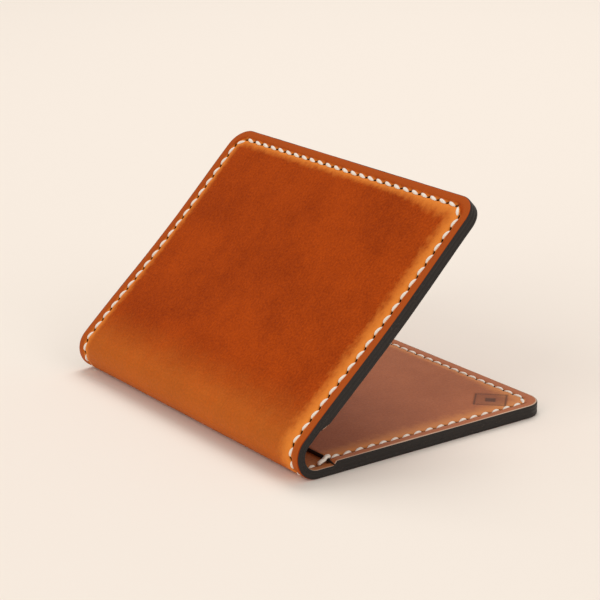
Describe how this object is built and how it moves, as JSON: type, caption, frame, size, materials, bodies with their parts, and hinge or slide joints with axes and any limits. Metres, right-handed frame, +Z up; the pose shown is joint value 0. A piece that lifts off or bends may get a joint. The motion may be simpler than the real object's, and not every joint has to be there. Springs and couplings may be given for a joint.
{
  "type": "bifold wallet",
  "caption": "Leather bifold wallet standing part open: two stitched covers with a card pocket each, joined by a flexible fold.",
  "frame": {"origin": "middle of the base of the bounding box, on the surface the wallet rests on", "axes": "+Z up, +Y along the fold, +X from the fold towards the open edge of the back cover"},
  "size_m": [0.0782, 0.102, 0.06],
  "materials": {
    "outer_leather": "smooth cognac brown vegetable-tanned leather, lightly burnished",
    "lining_leather": "smooth tan leather, grain side inwards",
    "pocket_leather": "smooth brown leather, satin",
    "edge_paint": "black burnished edge paint",
    "waxed_thread": "ivory waxed linen thread"
  },
  "bodies": {
    "back_cover": {"exterior_back": "outer_leather", "lining_back": "lining_leather", "pocket_back": "pocket_leather", "edge_paint_back": "edge_paint", "thread_back": "waxed_thread"},
    "spine_1": {"spine_exterior_1": "outer_leather", "spine_lining_1": "lining_leather", "spine_edge_paint_1": "edge_paint", "spine_thread_1": "waxed_thread"},
    "spine_2": {"spine_exterior_2": "outer_leather", "spine_lining_2": "lining_leather", "spine_edge_paint_2": "edge_paint", "spine_thread_2": "waxed_thread"},
    "spine_3": {"spine_exterior_3": "outer_leather", "spine_lining_3": "lining_leather", "spine_edge_paint_3": "edge_paint", "spine_thread_3": "waxed_thread"},
    "front_cover": {"exterior_front": "outer_leather", "lining_front": "lining_leather", "pocket_front": "pocket_leather", "edge_paint_front": "edge_paint", "thread_front": "waxed_thread"}
  },
  "joints": [
    {"name": "fold_1", "type": "hinge", "parent": "back_cover", "child": "spine_1", "pos_m": [-0.03486, 0, 0.00027], "axis": [0, -1, 0], "range_deg": [-11.2, 34.15]},
    {"name": "fold_2", "type": "hinge", "parent": "spine_1", "child": "spine_2", "pos_m": [-0.03779, 0, 0.00225], "axis": [0, -1, 0], "range_deg": [-11.2, 34.15]},
    {"name": "fold_3", "type": "hinge", "parent": "spine_2", "child": "spine_3", "pos_m": [-0.0391, 0, 0.00554], "axis": [0, -1, 0], "range_deg": [-11.2, 34.15]},
    {"name": "fold_4", "type": "hinge", "parent": "spine_3", "child": "front_cover", "pos_m": [-0.03834, 0, 0.009], "axis": [0, -1, 0], "range_deg": [-11.2, 34.15]}
  ]
}
